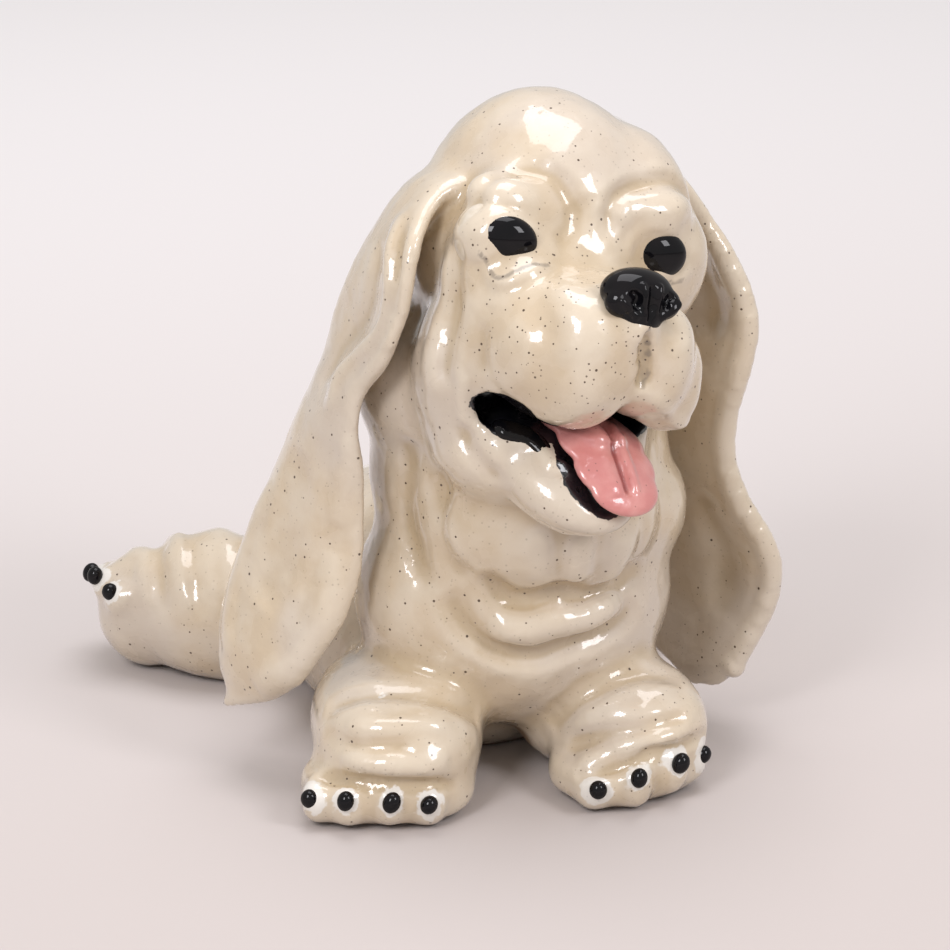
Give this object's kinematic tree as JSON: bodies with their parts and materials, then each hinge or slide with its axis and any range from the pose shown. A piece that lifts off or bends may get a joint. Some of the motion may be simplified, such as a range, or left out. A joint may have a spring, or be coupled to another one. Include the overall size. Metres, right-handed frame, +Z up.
{
  "type": "dog figurine",
  "caption": "Hand-built ceramic dog lying down, head up and turned, mouth open with its tongue out, long wavy ears that hang to the ground, speckled cream glaze.",
  "frame": {"origin": "on the flat underside of the trunk, in the plane the figurine rests on, midway between its flanks", "axes": "+Z up; the body lies along Y and looks along -Y, so the dog's own left side is at +X"},
  "size_m": [0.222, 0.2544, 0.2089],
  "materials": {
    "cream_glaze": "glossy",
    "black_glaze": "glossy",
    "pink_glaze": "glossy",
    "mouth_glaze": "glossy",
    "eye_glaze": "glossy"
  },
  "bodies": {
    "root": {"chest_fold": "cream_glaze", "chest_shell": "cream_glaze", "left_brow": "cream_glaze", "left_cheek": "cream_glaze", "left_ear": "cream_glaze", "left_eyeball": "eye_glaze", "left_flew": "cream_glaze", "left_foreleg": "cream_glaze", "left_forepaw": "cream_glaze", "left_forepaw_claws": "black_glaze", "left_forepaw_toes": "cream_glaze", "left_hindleg": "cream_glaze", "left_hindpaw": "cream_glaze", "left_hindpaw_claws": "black_glaze", "left_hindpaw_toes": "cream_glaze", "left_iris": "black_glaze", "left_lower_lid": "cream_glaze", "lower_jaw": "cream_glaze", "mouth_pocket": "mouth_glaze", "muzzle": "cream_glaze", "neck_shell": "cream_glaze", "nose": "black_glaze", "right_brow": "cream_glaze", "right_cheek": "cream_glaze", "right_ear": "cream_glaze", "right_eyeball": "eye_glaze", "right_flew": "cream_glaze", "right_foreleg": "cream_glaze", "right_forepaw": "cream_glaze", "right_forepaw_claws": "black_glaze", "right_forepaw_toes": "cream_glaze", "right_hindleg": "cream_glaze", "right_hindpaw": "cream_glaze", "right_hindpaw_claws": "black_glaze", "right_hindpaw_toes": "cream_glaze", "right_iris": "black_glaze", "right_lower_lid": "cream_glaze", "skull_shell": "cream_glaze", "tail": "cream_glaze", "throat_fold": "cream_glaze", "tongue": "pink_glaze", "trunk_shell": "cream_glaze"}
  },
  "joints": []
}
